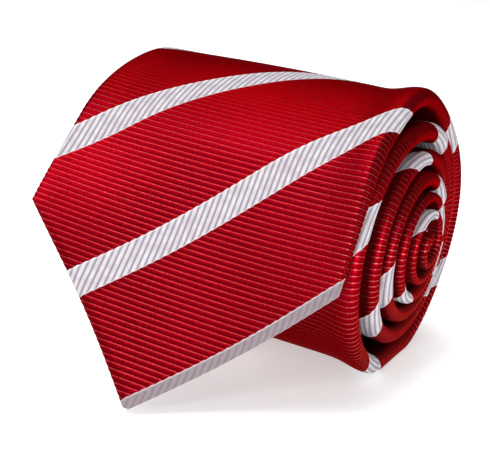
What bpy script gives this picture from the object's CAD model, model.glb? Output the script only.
"""Looks for the rolled striped necktie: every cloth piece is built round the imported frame.

One path runs along the whole tie, from the blade's point up the free end, round the roll to the
fold in its core, and back along the tail. A place on the tie is (u, v, n): u across it, v along it
from the blade's point and n out of its printed face. All lengths are in millimetres until a mesh
is made.
"""

import math

import bpy
import numpy as np
from mathutils import Matrix, Vector


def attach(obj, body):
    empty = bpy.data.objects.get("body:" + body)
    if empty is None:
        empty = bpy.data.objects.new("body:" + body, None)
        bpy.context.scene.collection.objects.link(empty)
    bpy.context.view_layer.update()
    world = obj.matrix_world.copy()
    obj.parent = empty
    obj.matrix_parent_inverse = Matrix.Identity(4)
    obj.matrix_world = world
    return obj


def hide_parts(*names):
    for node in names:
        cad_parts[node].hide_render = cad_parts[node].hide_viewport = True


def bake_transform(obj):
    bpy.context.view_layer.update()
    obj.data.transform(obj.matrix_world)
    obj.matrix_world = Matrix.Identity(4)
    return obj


MM = 0.001

# ---- the tie's driving dimensions, as in the CAD model -------------------------------------
BLADE_W = 85.0
NECK_W = 36.0
TAIL_W = 40.0
TIE_LENGTH = 1470.0
BLADE_T = 2.4
TAIL_T = 1.9
CLOTH = 0.35
ROLL_R = 38.2
SHOULDER = 3.8
TURNS = 6
CORE_R = 4.6
PITCH = 4.6
CORE_PROUD = 7.5
FREE_END = 68.0
FREE_SLOPE = math.radians(56.0)  # the free end hangs this far below level
HEM = 10.0
TAPER_FROM = 90.0  # the blade narrows from here to the fold
TAPER_BOW = 1.15  # along a slightly bowed line

# ---- the cloth -----------------------------------------------------------------------------
RIB = 1.5  # spacing of the woven ribs
RIB_HIGH = 0.13  # their height
PALE_LEAN = -0.07  # the white stripes' ribs run along the tie and lean this far per unit of length
STRIPE_STEP = 51.9  # from one white stripe to the next, along the tie
STRIPE_WIDE = 10.7  # a white stripe's size along the tie
STRIPE_START = 44.9  # where the first whole stripe's lower edge meets the centre line

STATIONS = 24
STEP = 2 * math.pi / STATIONS
PHI0 = math.radians(150.0)
K_FOLD = TURNS * STATIONS
K_HINGE = 12
HALF = BLADE_W / 2
CENTRE_Z = ROLL_R - 0.9


def smooth(t):
    t = np.clip(t, 0.0, 1.0)
    return t * t * (3 - 2 * t)


def mix(a, b, t):
    return a * (1 - t) + b * t


def bump(x, middle, reach):
    """1 at middle, falling smoothly to 0 about two reaches away."""
    return np.exp(-(((x - middle) / reach) ** 2))


# ---- the roll's shape ----------------------------------------------------------------------
SAG = 0.8  # the turns hang this far below the roll's axis, and less in the core
LOOSE = 3.9  # how much further out than an even spiral the turns lie, LOOSE_AT turns from the core
LOOSE_AT = 4.83
SHOULDER_REACH = 1.9  # stations over which the shoulder fades into the roll
UNDER_IN = 0.5  # the outer turn comes in by this much on its way underneath, from back to front
FLOOR_K = (15, 17)  # stations between which the outer turn rests flat
PACKED = (0.1, 0.5)  # gap between blade and tail, at the outside and at the core
PATH_STEP = 0.25  # spacing of the path's points
PATH_SOFT = 2.5  # the path's bends are smoothed over this length
PATH_SOFT_TO = 330.0  # up to this place along the tie
PATH_SOFT_FADE = 60.0  # and less and less over this much more


def ray(k):
    p = PHI0 - STEP * np.asarray(k, float)
    return np.stack([np.cos(p), np.sin(p)], -1)


def blade_thick(k):
    return mix(BLADE_T, TAIL_T, np.clip(k / K_FOLD, 0, 1))


def inner_r(k):
    m = TURNS - k / STATIONS
    sag = SAG * np.sin(PHI0 - STEP * k) * smooth(m / 3)
    return CORE_R + PITCH * m + LOOSE * (np.maximum(m, 0) / LOOSE_AT) ** 4 - sag


def outer_r(k):
    shoulder = SHOULDER * np.exp(-((k / SHOULDER_REACH) ** 2))
    return ROLL_R + shoulder - UNDER_IN * np.clip((k - 10) / 12, 0, 1)


def turn_r(k):
    return mix(outer_r(k), inner_r(k), smooth((k / STATIONS - 0.85) / 0.35))


def blade_r(k):
    k = np.asarray(k, float)
    down = np.maximum(-np.sin(PHI0 - STEP * k), 0.5)
    flat = CENTRE_Z / down - blade_thick(k) / 2
    return np.where((k > FLOOR_K[0]) & (k < FLOOR_K[1]), flat, turn_r(k))


def drop(k):
    """How far the tail's middle surface lies inside the blade's."""
    return (blade_thick(k) + TAIL_T) / 2 + mix(*PACKED, np.clip(k / K_FOLD, 0, 1) ** 6)


def tail_r(k):
    under_cover = turn_r(k + STATIONS) + blade_thick(k + STATIONS) / 2 + 0.5 + TAIL_T / 2
    return mix(blade_r(k) - drop(k), under_cover, smooth((20 - k) / 8))


def tie_path():
    """The middle line of the whole tie in the YZ plane, about the roll's axis, every PATH_STEP.

    Returns its points, its station k, and the arc lengths where the fold begins and ends.
    """
    down = np.array([-math.cos(FREE_SLOPE), -math.sin(FREE_SLOPE)])
    top = ray(0.0) * blade_r(0.0)
    ramp = [top + down * d for d in np.arange(FREE_END, 0.0, -1.0)]
    ks = np.arange(0, K_FOLD + 1e-6, 1 / 16)
    blade = ray(ks) * blade_r(ks)[:, None]
    fold_r = float(drop(K_FOLD)) / 2
    out = ray(float(K_FOLD))
    on = np.array([out[1], -out[0]])
    middle = out * (blade_r(float(K_FOLD)) - fold_r)
    turn = [middle + fold_r * (out * math.cos(a) + on * math.sin(a))
            for a in np.linspace(0, math.pi, 13)[1:-1]]
    kt = np.arange(K_FOLD, 1.0, -1 / 16)
    tail = ray(kt) * tail_r(kt)[:, None]
    points = np.vstack([ramp, blade, turn, tail])
    station = np.concatenate([np.full(len(ramp), 0.0), ks, np.full(len(turn), float(K_FOLD)), kt])
    length = np.concatenate([[0], np.cumsum(np.linalg.norm(np.diff(points, axis=0), axis=1))])
    fold_at = length[len(ramp) + len(blade) - 1]
    s = np.arange(0, TIE_LENGTH + 0.1, PATH_STEP)
    p = np.stack([np.interp(s, length, points[:, i]) for i in (0, 1)], -1)
    reach = 24
    kernel = np.exp(-((np.arange(-reach, reach + 1) * PATH_STEP / PATH_SOFT) ** 2) / 2)
    kernel /= kernel.sum()
    before = 2 * p[0] - p[reach:0:-1]
    after = 2 * p[-1] - p[-2:-reach - 2:-1]
    padded = np.vstack([before, p, after])
    soft = np.stack([np.convolve(padded[:, i], kernel, "valid") for i in (0, 1)], -1)
    p = mix(soft, p, smooth((s - PATH_SOFT_TO) / PATH_SOFT_FADE)[:, None])
    fold_end = length[len(ramp) + len(blade) + len(turn)]
    return s, p, np.interp(s, length, station), fold_at, fold_end


PATH_S, PATH_P, PATH_K, FOLD_IN, FOLD_OUT = tie_path()
TANGENT = np.gradient(PATH_P, axis=0)
TANGENT /= np.linalg.norm(TANGENT, axis=1)[:, None]
NORMAL = np.stack([-TANGENT[:, 1], TANGENT[:, 0]], -1)

TIP_TRIM = 1.2  # the CAD model's point is cut off this far from the path's end
TAIL_IN = 4.0  # the tail lies this much further in from the roll's near end
FRONT_Y = ((ray(0.0) * blade_r(0.0))[0] - math.cos(FREE_SLOPE) * (FREE_END - TIP_TRIM)
           - math.sin(FREE_SLOPE) * BLADE_T / 2)
BACK_Y = float(blade_r(10.0)) + float(blade_thick(10)) / 2
CENTRE_Y = -(FRONT_Y + BACK_Y) / 2
CENTRE_X = -CORE_PROUD / 2


def at(v, column):
    return np.interp(v, PATH_S, column)


def blade_half(v):
    """Half the blade's width, which narrows from TAPER_FROM to the fold."""
    return mix(HALF, NECK_W / 2, np.clip((v - TAPER_FROM) / (FOLD_IN - TAPER_FROM), 0, 1) ** TAPER_BOW)


def half_width(v):
    """Half the tie's width at each place along it, down to its two points."""
    v = np.asarray(v, float)
    left = TIE_LENGTH - v
    tail = mix(TAIL_W / 2, NECK_W / 2, np.clip((left - 40) / (TIE_LENGTH - FOLD_OUT - 40), 0, 1))
    side = np.where(v < FOLD_IN, blade_half(v), tail)
    return np.minimum(np.minimum(side, np.maximum(v, 0.6)), np.maximum(left, 0.6))


def thickness(v):
    return np.where(v < FOLD_IN, blade_thick(at(v, PATH_K)), TAIL_T)


def middle_x(v):
    """Where the tie's centre line lies along the roll: the near edges stay almost in one line."""
    k = at(v, PATH_K)
    blade = np.interp(k, np.arange(K_FOLD + 1), CENTRE_AT_K)
    tail = blade - TAIL_IN * smooth((K_FOLD - k) / STATIONS)
    return np.where(v < FOLD_IN, blade, tail)


BLADE_S_AT_K = np.interp(np.arange(K_FOLD + 1), PATH_K[PATH_S < FOLD_IN], PATH_S[PATH_S < FOLD_IN])
CENTRE_AT_K = HALF + CORE_PROUD * np.arange(K_FOLD + 1) / K_FOLD - blade_half(BLADE_S_AT_K)


# How far the cloth stands out of the plain roll. A minus is inwards, and a tilt is the opposite
# at the far edge.
POINT_TILT = -6.2  # at the near edge of the free end
POINT_CUP = 7.3  # at both edges of the free end
POINT_DIP = -2.5  # all across, near the point
BACK_TILT = 1.7  # at the near edge, at the back of the roll
BACK_CUP = 1.2  # at both edges of the back, and as much inwards just past the top
UNDER_DIP = -1.8  # all across, at the lower front of the outer turn
RIM_RISE = 0.9  # along the near edge, just past the top
POINT_SWAY = 1.9  # the free end leans this far to the near end of the roll
TOP_SWAY = -2.1  # the outer turn leans this far just past the top


def wave(u, v):
    """How far the cloth stands out of the plain roll: the free end's curl and a few soft waves."""
    across = u / HALF
    back = bump(v, 4 * HALF, HALF / 2)
    past_top = bump(v, 3 * HALF, HALF / 2)
    tilt = POINT_TILT * smooth((2.5 * HALF - v) / (1.8 * HALF)) + BACK_TILT * back
    cup = POINT_CUP * bump(v, 35, 30) + BACK_CUP * (back - past_top)
    out = POINT_DIP * bump(v, 28, 34) + UNDER_DIP * bump(v, 6.2 * HALF, 1.3 * HALF)
    rim = RIM_RISE * smooth((u - 28) / 10) * bump(v, 120, HALF / 2)
    return tilt * across + cup * across**2 + out + rim


def sway(v):
    """How far the tie leans to the near end of the roll."""
    return POINT_SWAY * bump(v, 30, HALF) + TOP_SWAY * bump(v, 3 * HALF, 0.65 * HALF)


def place(u, v, n):
    """Points of the row frame, in metres, for places on the tie."""
    u, v, n = np.broadcast_arrays(np.asarray(u, float), np.asarray(v, float), np.asarray(n, float))
    off = n + wave(u, v)
    y = at(v, PATH_P[:, 0]) + at(v, NORMAL[:, 0]) * off + CENTRE_Y
    z = at(v, PATH_P[:, 1]) + at(v, NORMAL[:, 1]) * off + CENTRE_Z
    return np.stack([u + middle_x(v) + sway(v) + CENTRE_X, y, np.maximum(z, 0.03)], -1) * MM


# ---- the weave -----------------------------------------------------------------------------
# How far the cloth has crept along the tie as it was rolled up.
CREEP_TOP = -2.5  # just past the top of the outer turn
CREEP_BACK = -6.5  # low on its back
CREEP_ON = 8.5  # from underneath it on
CREEP_MIDDLE = 4.5  # more than CREEP_ON, from the second to the fourth turn
CREEP_CORE = 2.5  # more than CREEP_ON, in the last turns and along the tail
RIM = 0.6  # the ribs fade out over this length at the edges of a white stripe

# Radii of the soft folded edges.
NEAR_FOLD = 2.7
FAR_FOLD = 1.6
POINT_FOLD = 0.85
INNER_FOLD = 2.1  # at most, in the inner turns
CORE_FOLD = 1.15
TAIL_END_FOLD = 0.8

# Where the folded edges on the back part to show the lining, measured from each point.
BLADE_PARTS = 56.0
BLADE_SHUT_OVER = 40.0
TAIL_PARTS = 26.0
TAIL_SHUT_OVER = 20.0
TAIL_HEM = 7.0
SEAM_HALF = 0.12  # half the gap at the seam, where they meet


def past_stripe(u, v):
    """Distance along the cloth past the lower edge of the last white stripe."""
    return np.mod(v - u - STRIPE_START, STRIPE_STEP)


def drift(v):
    """How far the cloth has crept along the tie at each place on it."""
    outer = CREEP_ON * smooth((v - 225) / 100)
    outer = outer + CREEP_BACK * bump(v, 195, 24) + CREEP_TOP * bump(v, 130, 28)
    middle = CREEP_MIDDLE * smooth((v - 360) / 50) * smooth((680 - v) / 70)
    return outer + middle + CREEP_CORE * smooth((v - 720) / 70)


def rib_height(u, v, fine):
    """Ribs run across the tie on the red ground and along it in the white stripes.

    The white ribs show only where the mesh is fine. A level rim follows each stripe's edges.
    """
    past = past_stripe(u, v)
    white = past < STRIPE_WIDE
    across = np.abs(2 * np.mod(v / RIB, 1.0) - 1) ** 3
    along_it = np.abs(2 * np.mod((u + PALE_LEAN * v) / RIB, 1.0) - 1) ** 2 * fine
    to_edge = np.minimum(np.minimum(np.abs(past), np.abs(past - STRIPE_WIDE)), STRIPE_STEP - past)
    return RIB_HIGH * (1 - np.where(white, along_it, across) * (1 - np.exp(-((to_edge / RIM) ** 2))))


def fold_radius(v, side):
    """Radius of the soft folded edge; the near edges are fuller than the far ones."""
    full = NEAR_FOLD if side > 0 else FAR_FOLD
    point = mix(POINT_FOLD, full, smooth((v - 36) / 50))
    turns_in = mix(full, min(full, INNER_FOLD), smooth((v - 300) / 300))
    in_core = mix(turns_in, CORE_FOLD, smooth((v - FOLD_IN + 200) / 150))
    tail_end = mix(TAIL_END_FOLD, 9, smooth((TIE_LENGTH - v - 10) / 30))
    radius = np.minimum(np.minimum(point, in_core), tail_end)
    return np.minimum(radius, half_width(v) * 0.45)


def half_thick(u, v):
    """Half the folded tie's thickness: its soft edges are fuller than its middle."""
    t = thickness(v) / 2
    radius = np.where(u > 0, fold_radius(v, 1), fold_radius(v, -1))
    inside = np.maximum(half_width(v) - radius - np.abs(u), 0)
    return t + (radius - t) * np.exp(-((inside / np.where(radius > t, 6.0, 1.5)) ** 2))


def open_back(v):
    """Half the gap between the folded edges on the back, which the lining fills near a point."""
    h = half_width(v)
    hem = HEM * math.sqrt(2)
    left = TIE_LENGTH - v
    blade_shut = 1 - (v - BLADE_PARTS) / BLADE_SHUT_OVER
    tail_shut = 1 - (left - TAIL_PARTS) / TAIL_SHUT_OVER
    blade = np.where(v < BLADE_PARTS, h - hem, (HALF - hem) * blade_shut)
    tail = np.where(left < TAIL_PARTS, h - TAIL_HEM, (TAIL_W / 2 - TAIL_HEM) * tail_shut)
    return np.minimum(np.maximum(np.where(v < FOLD_IN, blade, tail), SEAM_HALF), h * 0.6)


def section(front, near_fold, far_fold, back, inner):
    """One station's closed outline as a list of places that hold at every station.

    The outer face runs from the back seam round the near edge, over the front and round the far
    edge back to the seam; the inner face returns inside it. A row is (kind, side, t): kind names
    the stretch, side is 1 near and -1 far, and t runs along the stretch.
    """
    rows = [("back", 1, i / back) for i in range(back)]
    rows += [("fold", 1, i / near_fold) for i in range(near_fold)]
    rows += [("front", 1, i / front) for i in range(front)]
    rows += [("fold", -1, 1 - i / far_fold) for i in range(far_fold)]
    rows += [("back", -1, 1 - i / back) for i in range(back + 1)]
    rows += [("inner back", -1, i / inner) for i in range(inner + 1)]
    rows += [("inner front", 1, i / (2 * inner)) for i in range(2 * inner + 1)]
    rows += [("inner back", 1, 1 - i / inner) for i in range(inner + 1)]
    return rows


def outline(v, rows, fine):
    """Columns of x, n, outward x, outward n, cloth u, cloth v and rib flags for stations v."""
    h, gap = half_width(v), open_back(v)
    columns = []
    for kind, side, t in rows:
        radius = fold_radius(v, side)
        flat = h - radius
        zero, one = 0 * v, 0 * v + 1
        if kind == "fold":
            a = math.pi * (t - 0.5)
            x = side * (flat + radius * math.cos(a))
            around = side * (flat + radius * (math.pi / 2 - a))
            columns.append((x, radius * math.sin(a), zero + side * math.cos(a), zero + math.sin(a),
                            around, v, one, one))
        elif kind == "front":
            x = mix(flat, -(h - fold_radius(v, -1)), t)
            columns.append((x, half_thick(x, v), zero, one, x, v, one, one * fine))
        elif kind == "back":
            x = side * mix(gap, flat, t)
            beyond = side * (2 * h - np.abs(x) + (math.pi - 2) * radius)
            cloth_u = np.where(v < HALF, side * v, beyond)
            cloth_v = np.where(v < HALF, side * x, v)
            columns.append((x, -half_thick(x, v), zero, -one, cloth_u, cloth_v, one, zero))
        elif kind == "inner back":
            x = side * mix(gap, flat, t)
            columns.append((x, CLOTH - half_thick(x, v), zero, zero, x, v, zero, zero))
        else:
            x = mix(-(h - fold_radius(v, -1)), h - fold_radius(v, 1), t)
            columns.append((x, half_thick(x, v) - CLOTH, zero, zero, x, v, zero, zero))
    return [np.stack(c, 1) for c in zip(*columns)]


def new_mesh(name, points, faces, uv=None):
    """A smooth-shaded object; uv gives each point its place on the cloth."""
    mesh = bpy.data.meshes.new(name)
    mesh.vertices.add(len(points))
    mesh.vertices.foreach_set("co", np.asarray(points, np.float32).ravel())
    corners = np.concatenate([np.asarray(f, np.int32) for f in faces])
    ends = np.cumsum([len(f) for f in faces])
    mesh.loops.add(len(corners))
    mesh.loops.foreach_set("vertex_index", corners)
    mesh.polygons.add(len(faces))
    mesh.polygons.foreach_set("loop_start", np.concatenate([[0], ends[:-1]]).astype(np.int32))
    mesh.update(calc_edges=True)
    mesh.validate()
    if uv is not None:
        layer = mesh.uv_layers.new(name="tie")
        index = np.zeros(len(mesh.loops), np.int32)
        mesh.loops.foreach_get("vertex_index", index)
        layer.data.foreach_set("uv", np.asarray(uv, np.float32)[index].ravel())
    mesh.polygons.foreach_set("use_smooth", np.ones(len(mesh.polygons), bool))
    obj = bpy.data.objects.new(name, mesh)
    bpy.context.collection.objects.link(obj)
    return obj


def tube_faces(rows, columns):
    """Quads joining each closed ring of points to the next, with a cap on each end."""
    i, j = np.meshgrid(np.arange(rows - 1), np.arange(columns), indexing="ij")
    a, b = i * columns + j, i * columns + (j + 1) % columns
    quads = np.stack([a, b, b + columns, a + columns], -1).reshape(-1, 4)
    caps = [list(range(columns - 1, -1, -1)), [(rows - 1) * columns + j for j in range(columns)]]
    return [*quads.tolist(), *caps]


def shell(name, start, end, rows_per_rib, front, near_fold=24, far_fold=12, back=14, inner=4):
    """A length of the tie's outer cloth, folded round to its seam, with real ribs."""
    step = RIB / rows_per_rib
    cloth = PATH_S - drift(PATH_S)
    stations = np.interp(np.arange(0.0, TIE_LENGTH, step), cloth, PATH_S)
    stations = stations[(stations > start + 0.05) & (stations < end - 0.05)]
    stations = np.concatenate([[start], stations, [end]])
    rows = section(front, near_fold, far_fold, back, inner)
    x, n, dx, dn, cloth_u, cloth_v, ribbed, fine = outline(stations, rows, float(front > 100))
    cloth_v = cloth_v - drift(cloth_v)
    lift = (rib_height(cloth_u, cloth_v, fine) - RIB_HIGH) * ribbed
    points = place(x + dx * lift, stations[:, None] + 0 * x, n + dn * lift)
    uv = np.stack([cloth_u, cloth_v], -1).reshape(-1, 2)
    return new_mesh(name, points.reshape(-1, 3), tube_faces(len(stations), len(rows)), uv)


def strip(name, start, end, left, right, low, high, step=1.5, across=12):
    """A flat strip on the tie: u from left(v) to right(v), n from low(v) to high(v)."""
    count = max(2, round((end - start) / step) + 1)
    rows = []
    for v in np.linspace(start, end, count):
        us = np.linspace(left(v), right(v), across)
        ring = [(u, high(u, v)) for u in us] + [(u, low(u, v)) for u in us[::-1]]
        rows.append([(u, v, n) for u, n in ring])
    table = np.array(rows)
    points = place(table[..., 0], table[..., 1], table[..., 2]).reshape(-1, 3)
    uv = table[..., :2].reshape(-1, 2)
    return new_mesh(name, points, tube_faces(count, table.shape[1]), uv)


# ---- materials -----------------------------------------------------------------------------
class Nodes:
    """Small helper that adds and links shader nodes."""

    def __init__(self, name):
        self.material = bpy.data.materials.new(name)
        self.material.use_nodes = True
        self.tree = self.material.node_tree
        self.shader = self.tree.nodes["Principled BSDF"]

    def add(self, kind, **inputs):
        node = self.tree.nodes.new(kind)
        for key, value in inputs.items():
            setattr(node, key, value)
        return node

    def link(self, a, b):
        self.tree.links.new(a, b)

    def math(self, operation, a, b=0.0, c=0.0):
        node = self.add("ShaderNodeMath", operation=operation)
        for i, value in enumerate((a, b, c)):
            if isinstance(value, bpy.types.NodeSocket):
                self.link(value, node.inputs[i])
            else:
                node.inputs[i].default_value = value
        return node.outputs[0]

    def mix(self, factor, a, b):
        node = self.add("ShaderNodeMix", data_type="RGBA")
        for socket, value in ((node.inputs[0], factor), (node.inputs[6], a), (node.inputs[7], b)):
            if isinstance(value, bpy.types.NodeSocket):
                self.link(value, socket)
            elif socket == node.inputs[0]:
                socket.default_value = value
            else:
                socket.default_value = (*value, 1.0)
        return node.outputs[2]

    def ramp(self, value, low, high):
        """0 below low, 1 above high."""
        node = self.add("ShaderNodeMapRange", clamp=True)
        self.link(value, node.inputs[0])
        node.inputs[1].default_value = low
        node.inputs[2].default_value = high
        return node.outputs[0]

    def noise(self, vector, scale, detail=2.0):
        node = self.add("ShaderNodeTexNoise")
        self.link(vector, node.inputs["Vector"])
        node.inputs["Scale"].default_value = scale
        node.inputs["Detail"].default_value = detail
        return node.outputs[0]

    def finish(self, colour, roughness, bump_height=None, bump=0.1, sheen=0.2, level=0.5):
        s = self.shader.inputs
        if isinstance(colour, bpy.types.NodeSocket):
            self.link(colour, s["Base Color"])
        else:
            s["Base Color"].default_value = (*colour, 1.0)
        if isinstance(roughness, bpy.types.NodeSocket):
            self.link(roughness, s["Roughness"])
        else:
            s["Roughness"].default_value = roughness
        s["Sheen Weight"].default_value = sheen
        s["Sheen Roughness"].default_value = 0.4
        s["Specular IOR Level"].default_value = level
        if bump_height is not None:
            node = self.add("ShaderNodeBump")
            node.inputs["Strength"].default_value = bump
            node.inputs["Distance"].default_value = 0.0003
            self.link(bump_height, node.inputs["Height"])
            self.link(node.outputs[0], s["Normal"])
        return self.material


# Linear colours of the satin: its red ground, the lit thread on each rib and the white stripes.
RED_DARK = (0.066, 0.0, 0.0008)
RED_BRIGHT = (0.205, 0.0009, 0.006)
RED_GROOVE = (0.03, 0.0, 0.0004)
RED_BROAD = (0.30, 0.001, 0.008)
LINE_ON_FACE = (0.34, 0.055, 0.055)
LINE_ON_FOLD = (0.62, 0.17, 0.13)
WHITE_DULL = (0.40, 0.365, 0.40)
WHITE_BRIGHT = (0.53, 0.495, 0.53)
WHITE_GROOVE = (0.15, 0.132, 0.15)
WHITE_FLECK = (0.22, 0.195, 0.22)
WHITE_ON_HEM = (0.16, 0.12, 0.133)
WHITE_RIM = (0.74, 0.72, 0.75)
SOFT_EDGE = 0.08  # half the width over which a white stripe's edge fades


def striped_satin():
    """Red ribs across the tie with a lit thread on each, and white stripes with ribs along it."""
    m = Nodes("striped_satin")
    uv = m.add("ShaderNodeUVMap", uv_map="tie").outputs[0]
    parts = m.add("ShaderNodeSeparateXYZ")
    m.link(uv, parts.inputs[0])
    u, v = parts.outputs[0], parts.outputs[1]
    rib_v = m.math("FRACT", m.math("DIVIDE", v, RIB))
    leaning_u = m.math("ADD", u, m.math("MULTIPLY", v, PALE_LEAN))
    rib_u = m.math("FRACT", m.math("DIVIDE", leaning_u, RIB))
    from_crest = m.math("ABSOLUTE", m.math("SUBTRACT", m.math("MULTIPLY", rib_u, 2.0), 1.0))
    ridge = m.math("SUBTRACT", 1.0, from_crest)
    scallop = m.math("MULTIPLY", ridge, 0.25)
    beyond_first = m.math("SUBTRACT", m.math("SUBTRACT", v, m.math("ADD", u, STRIPE_START)), scallop)
    past = m.math("FLOORED_MODULO", beyond_first, STRIPE_STEP)
    begun = m.ramp(past, 0.0, 2 * SOFT_EDGE)
    over = m.ramp(past, STRIPE_WIDE - SOFT_EDGE, STRIPE_WIDE + SOFT_EDGE)
    white = m.math("SUBTRACT", begun, over)
    upper_rim = m.math("SUBTRACT", m.ramp(past, STRIPE_WIDE - 0.55, STRIPE_WIDE - 0.35), over)
    lower_rim = m.math("SUBTRACT", begun, m.ramp(past, 0.35, 0.55))
    rim = m.math("ADD", upper_rim, lower_rim)

    stretch = m.add("ShaderNodeMapping")
    m.link(uv, stretch.inputs[0])
    stretch.inputs["Scale"].default_value = (0.9, 3.0, 1.0)
    fleck = m.noise(stretch.outputs[0], 1.6, 3.0)
    broad = m.noise(uv, 0.02, 1.0)

    groove = m.math("SUBTRACT", 1.0, m.ramp(rib_v, 0.04, 0.20))
    line = m.math("SUBTRACT", m.ramp(rib_v, 0.74, 0.79), m.ramp(rib_v, 0.85, 0.90))
    line = m.math("MULTIPLY", line, m.ramp(fleck, 0.2, 0.65))
    red = m.mix(m.ramp(fleck, 0.38, 0.62), RED_DARK, RED_BRIGHT)
    red = m.mix(m.math("MULTIPLY", groove, 0.8), red, RED_GROOVE)
    taper = m.math("POWER", m.ramp(v, TAPER_FROM, FOLD_IN), TAPER_BOW)
    half = m.math("SUBTRACT", HALF, m.math("MULTIPLY", taper, HALF - NECK_W / 2))
    beyond = m.math("SUBTRACT", u, half)
    edge = m.math("SUBTRACT", m.ramp(beyond, -3.2, -0.5), m.ramp(beyond, 2.5, 5.5))
    lit = m.mix(edge, LINE_ON_FACE, LINE_ON_FOLD)
    red = m.mix(m.math("MULTIPLY", line, 0.8), red, lit)
    red = m.mix(m.math("MULTIPLY", m.ramp(broad, 0.3, 0.75), 0.35), red, RED_BROAD)

    patchy = m.ramp(m.noise(uv, 0.35, 2.0), 0.3, 0.7)
    crest = m.mix(patchy, WHITE_DULL, WHITE_BRIGHT)
    pale = m.mix(m.ramp(ridge, 0.0, 0.65), WHITE_GROOVE, crest)
    pale = m.mix(m.math("MULTIPLY", m.ramp(fleck, 0.35, 0.7), 0.25), pale, WHITE_FLECK)
    # the red hem shows through the white stripe that runs along the edge of the point
    past_edge = m.math("SUBTRACT", v, u)
    on_hem = m.math("SUBTRACT", m.ramp(past_edge, -1.0, -0.5), m.ramp(past_edge, 8.0, 12.0))
    pale = m.mix(m.math("MULTIPLY", on_hem, 0.8), pale, WHITE_ON_HEM)
    pale = m.mix(m.math("MULTIPLY", rim, 0.3), pale, WHITE_RIM)
    colour = m.mix(white, red, pale)
    rough = m.math("ADD", 0.25, m.math("MULTIPLY", fleck, 0.16))
    metal = m.math("MULTIPLY", m.math("SUBTRACT", 1.0, white), 0.75)
    m.link(metal, m.shader.inputs["Metallic"])
    m.shader.inputs["Specular Tint"].default_value = (0.75, 0.02, 0.04, 1.0)
    return m.finish(colour, rough, fleck, 0.35, sheen=0.0, level=0.0)


def plain_cloth(name, colour, fine, sheen=0.1, roughness=0.6, level=0.5):
    """A plain woven cloth: a fine over-and-under weave with slight colour variation."""
    m = Nodes(name)
    uv = m.add("ShaderNodeUVMap", uv_map="tie").outputs[0]
    parts = m.add("ShaderNodeSeparateXYZ")
    m.link(uv, parts.inputs[0])
    wave_u = m.math("SINE", m.math("MULTIPLY", parts.outputs[0], 2 * math.pi / fine))
    wave_v = m.math("SINE", m.math("MULTIPLY", parts.outputs[1], 2 * math.pi / fine))
    weave = m.math("MULTIPLY", wave_u, wave_v)
    patchy = m.noise(uv, 0.15, 3.0)
    shade = m.math("ADD", m.math("MULTIPLY", weave, 0.18), m.ramp(patchy, 0.2, 0.8))
    dark = tuple(c * 0.72 for c in colour)
    shaded = m.mix(m.ramp(shade, -0.2, 1.2), dark, colour)
    return m.finish(shaded, roughness, weave, 0.4, sheen=sheen, level=level)


# ---- the scene -----------------------------------------------------------------------------
CAMERA_AZIMUTH = math.radians(27.76)  # to the right of the tie's front
CAMERA_ELEVATION = math.radians(19.26)
CAMERA_ROLL = math.radians(5.3)
CAMERA_AIM = (-3.06, 0.0, 33.76)  # a place on the roll
CAMERA_DISTANCE = 302.6
CAMERA_LENS = 79.6
LIGHT_AIM = Vector((0, 0, 0.04))  # in metres


def camera():
    azimuth, elevation, roll = CAMERA_AZIMUTH, CAMERA_ELEVATION, CAMERA_ROLL
    back = Vector((math.sin(azimuth) * math.cos(elevation), -math.cos(azimuth) * math.cos(elevation),
                   math.sin(elevation)))
    right = Vector((math.cos(azimuth), math.sin(azimuth), 0.0))
    up = back.cross(right)
    turned_right = right * math.cos(roll) + up * math.sin(roll)
    turned_up = up * math.cos(roll) - right * math.sin(roll)
    eye = Vector(CAMERA_AIM) * MM + back * CAMERA_DISTANCE * MM
    cam = bpy.data.objects.new("camera", bpy.data.cameras.new("camera"))
    bpy.context.collection.objects.link(cam)
    turn = Matrix((turned_right, turned_up, back)).transposed()
    cam.matrix_world = Matrix.Translation(eye) @ turn.to_4x4()
    cam.data.sensor_width = 36.0
    cam.data.lens = CAMERA_LENS
    cam.data.clip_start = 0.01
    bpy.context.scene.camera = cam


def area_light(name, where, size, power):
    """A square light of this size at a place, both in metres, and this power in watts."""
    data = bpy.data.lights.new(name, "AREA")
    data.shape = "RECTANGLE"
    data.size = size
    data.size_y = size
    data.energy = power
    light = bpy.data.objects.new(name, data)
    bpy.context.collection.objects.link(light)
    light.location = where
    light.rotation_euler = (LIGHT_AIM - Vector(where)).to_track_quat("-Z", "Y").to_euler()


def studio():
    floor = new_mesh("floor", [(-3, -3, 0), (3, -3, 0), (3, 3, 0), (-3, 3, 0)], [[0, 1, 2, 3]])
    m = Nodes("floor")
    grain = m.noise(m.add("ShaderNodeTexCoord").outputs["Object"], 40.0)
    shade = m.mix(grain, (0.93, 0.93, 0.93), (0.95, 0.95, 0.95))
    floor.data.materials.append(m.finish(shade, 0.9, sheen=0.0))
    m.shader.inputs["Emission Color"].default_value = (1, 1, 1, 1)
    m.shader.inputs["Emission Strength"].default_value = 0.4
    area_light("key", (-0.17, -0.40, 0.82), 0.3, 4.8)
    area_light("front", (0.14, -0.68, 0.66), 0.2, 1.1)
    area_light("side", (-0.60, -0.46, 0.48), 0.3, 1.9)
    area_light("top", (-0.22, 0.28, 0.80), 0.6, 4.8)
    area_light("edge", (0.60, -0.42, 0.10), 0.12, 4.2)
    world = bpy.data.worlds.new("world")
    bpy.context.scene.world = world
    world.use_nodes = True
    background = world.node_tree.nodes["Background"]
    background.inputs["Color"].default_value = (1, 1, 1, 1)
    background.inputs["Strength"].default_value = 0.3
    bpy.context.scene.view_settings.view_transform = "Standard"


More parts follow.
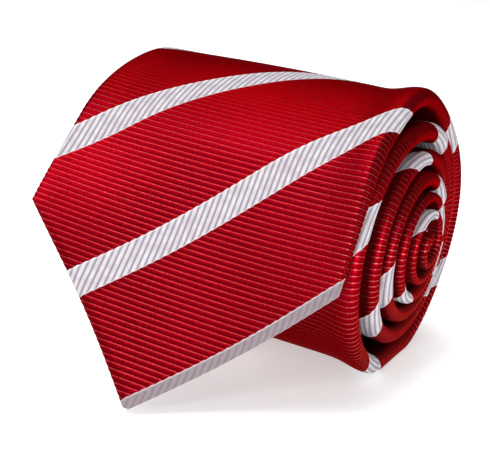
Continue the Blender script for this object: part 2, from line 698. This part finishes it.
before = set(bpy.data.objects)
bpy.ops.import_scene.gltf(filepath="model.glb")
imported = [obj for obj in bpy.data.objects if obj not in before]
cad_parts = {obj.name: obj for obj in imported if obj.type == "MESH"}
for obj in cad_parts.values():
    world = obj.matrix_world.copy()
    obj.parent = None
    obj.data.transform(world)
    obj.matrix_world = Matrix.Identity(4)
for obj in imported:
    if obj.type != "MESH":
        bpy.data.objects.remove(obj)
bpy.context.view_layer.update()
camera()
studio()

SATIN = striped_satin()
LINING = plain_cloth("lining", (0.24, 0.002, 0.006), 0.5, sheen=0.0, roughness=0.5, level=0.15)
WOOL = plain_cloth("interlining", (0.72, 0.69, 0.62), 0.9, roughness=0.9)
LABEL = plain_cloth("label", (0.82, 0.81, 0.84), 0.4, roughness=0.4)
THREAD = plain_cloth("thread", (0.40, 0.004, 0.012), 0.3, roughness=0.6)


def own(piece, material, nodes, body):
    """Gives a piece its material, the CAD nodes it stands for and the body it rides on.

    A body written as (first, second, start, end) means that the piece follows the first before
    start, the second after end, and bends smoothly between these two places along the tie.
    """
    piece.data.materials.append(material)
    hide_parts(*nodes)
    if isinstance(body, str):
        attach(piece, body)
    else:
        first, second, start, end = body
        tuple(place(0, start, 0))
        tuple(place(0, end, 0))
        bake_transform(piece)
    return piece


def sheet(start, end, wide):
    """Declares a length of cloth whose flat width at each place along the tie is wide(v)."""
    widths = [float(wide(v)) * MM for v in np.linspace(start, end, 100)]


def unfolded(v):
    """The satin was cut twice as wide as the tie on each side of its centre, then folded in."""
    return 4 * half_width(v)


def v_at(k):
    """How far along the tie a station of the blade lies."""
    return float(np.interp(k, np.arange(K_FOLD + 1), BLADE_S_AT_K))


V_FREE = FREE_END
V_HINGE = v_at(K_HINGE)
V_SPLIT = RIB * round((V_FREE + V_HINGE) / 2 / RIB)
V_TURN = v_at(18)
V_ROLL = RIB * round(v_at(30) / RIB)
V_NECK = v_at(K_FOLD - 30)
V_TAIL = FOLD_OUT + 60.0
# The free end bends before its crease, clear of the turn below it; the cover bends on both sides.
AT_FREE = ("free_end", "cover", V_FREE - 22, V_FREE + 5)
AT_HINGE = ("cover", "roll", V_HINGE - 14, V_HINGE + 14)


def satin_pieces():
    for name, node, start, end, rows, front, body in (
            ("free", "free", 0.8, V_SPLIT, 4, 200, AT_FREE),
            ("cover", "cover", V_SPLIT, V_TURN, 4, 200, AT_HINGE),
            ("turn", "roll", V_TURN, V_ROLL, 4, 200, "roll"),
            ("roll", "roll", V_ROLL, V_NECK, 3, 30, "roll")):
        piece = shell("blade_cloth_" + name, start, end, rows, front)
        own(piece, SATIN, ["blade_shell_" + node], body)
        sheet(start, end, unfolded)
    for name, start, end in (("neck", V_NECK, V_TAIL), ("tail", V_TAIL, TIE_LENGTH - 0.8)):
        piece = shell(name + "_cloth", start, end, 3, 16, back=8)
        own(piece, SATIN, [name + "_shell"], "roll")
        sheet(start, end, unfolded)


def interlinings():
    def edge(v, side):
        return side * (half_width(v) - fold_radius(v, side) - 1.0)

    def top(u, v):
        return half_thick(u, v) - CLOTH - 0.15

    def under(u, v):
        return CLOTH + 0.35 - half_thick(u, v)

    for name, start, end, body, across in (
            ("free", 8, V_SPLIT, AT_FREE, 60), ("cover", V_SPLIT, V_TURN, AT_HINGE, 60),
            ("roll", V_TURN, TIE_LENGTH - 14, "roll", 24)):
        piece = strip("interlining_wool_" + name, start, end, lambda v: edge(v, -1),
                      lambda v: edge(v, 1), under, top, across=across)
        own(piece, WOOL, ["interlining_" + name], body)
        sheet(start, end, lambda v: edge(v, 1) - edge(v, -1))


def tippings():
    """Lining that closes the back of each point, tucked under the folded edges."""
    for name, nodes, start, end, tuck, body in (
            ("blade_tipping", ["tipping_free", "tipping_cover"], 8, 104, 6, AT_FREE),
            ("tail_tipping_silk", ["tail_tipping"], TIE_LENGTH - 44, TIE_LENGTH - 8, 4, "roll")):
        def reach(v):
            return min(float(open_back(v)) + tuck, float(half_width(v)) - 1.4)

        def under(v):
            return -thickness(v) / 2 + CLOTH + 0.03

        piece = strip(name, start, end, lambda v: -reach(v), reach, lambda u, v: under(v),
                      lambda u, v: under(v) + 0.22, across=16)
        own(piece, LINING, nodes, body)
        sheet(start, end, lambda v: 2 * reach(v))


def on_back(name, k_low, k_high, half, depth, rise, across=24, step=0.7, cloth=True):
    """A patch on the blade's back: depth(u, v) below the back face at its outer side."""
    def back(v):
        return -thickness(v) / 2

    piece = strip(name, v_at(k_low), v_at(k_high), lambda v: -half, lambda v: half,
                  lambda u, v: back(v) - depth(u, v), lambda u, v: back(v) - rise, step, across)
    if cloth:
        sheet(v_at(k_low), v_at(k_high), lambda v: 2 * half)
    return piece


def trims():
    loop_mid, loop_reach = v_at(10.8), v_at(11.5) - v_at(10.8)

    def loop_depth(u, v):
        along_it = math.sqrt(max(1 - min(abs(v - loop_mid) / loop_reach, 1.0) ** 6, 0.0))
        across_it = math.sqrt(max(1 - (abs(u) / 24.5) ** 8, 0.0))
        return 0.35 + 0.45 * along_it * across_it

    loop = on_back("keeper_loop_cloth", 10.1, 11.5, 24.0, loop_depth, 0.1, 60, 0.4)
    own(loop, SATIN, ["keeper_loop"], AT_HINGE)
    for name, low, high, half, node in (("brand_label_satin", 5.4, 7.8, 23.0, "brand_label"),
                                        ("care_label_satin", 8.1, 9.8, 11.0, "care_label")):
        def hemmed(u, v, half=half):
            return 0.35 if abs(u) > half - 3 else 0.24

        label = on_back(name, low, high, half, hemmed, 0.05, int(half * 4))
        own(label, LABEL, [node], "cover")
    tack = on_back("blade_bar_tack_thread", 4.2, 4.45, 4.0,
                   lambda u, v: 0.16 + 0.2 * abs(math.sin(math.pi * u / 0.8)), 0.02, 81, 0.3, cloth=False)
    own(tack, THREAD, ["blade_bar_tack"], "cover")


def threads():
    def seam(v):
        return 0.45 * math.sin(v * math.pi / 3.0)

    stitch = strip("slip_stitch_thread", V_HINGE + 12, TIE_LENGTH - 54, lambda v: seam(v) - 0.1,
                   lambda v: seam(v) + 0.1, lambda u, v: -thickness(v) / 2 - 0.04,
                   lambda u, v: -thickness(v) / 2 + 0.12, 0.75, 2)
    own(stitch, THREAD, ["slip_stitch"], "roll")
    tack = strip("tail_bar_tack_thread", TIE_LENGTH - 52, TIE_LENGTH - 50, lambda v: -3.0, lambda v: 3.0,
                 lambda u, v: -thickness(v) / 2 - 0.03 - 0.05 * abs(math.sin(math.pi * u / 0.8)),
                 lambda u, v: -thickness(v) / 2 - 0.01, 0.4, 61)
    own(tack, THREAD, ["tail_bar_tack"], "roll")


satin_pieces()
interlinings()
tippings()
trims()
threads()
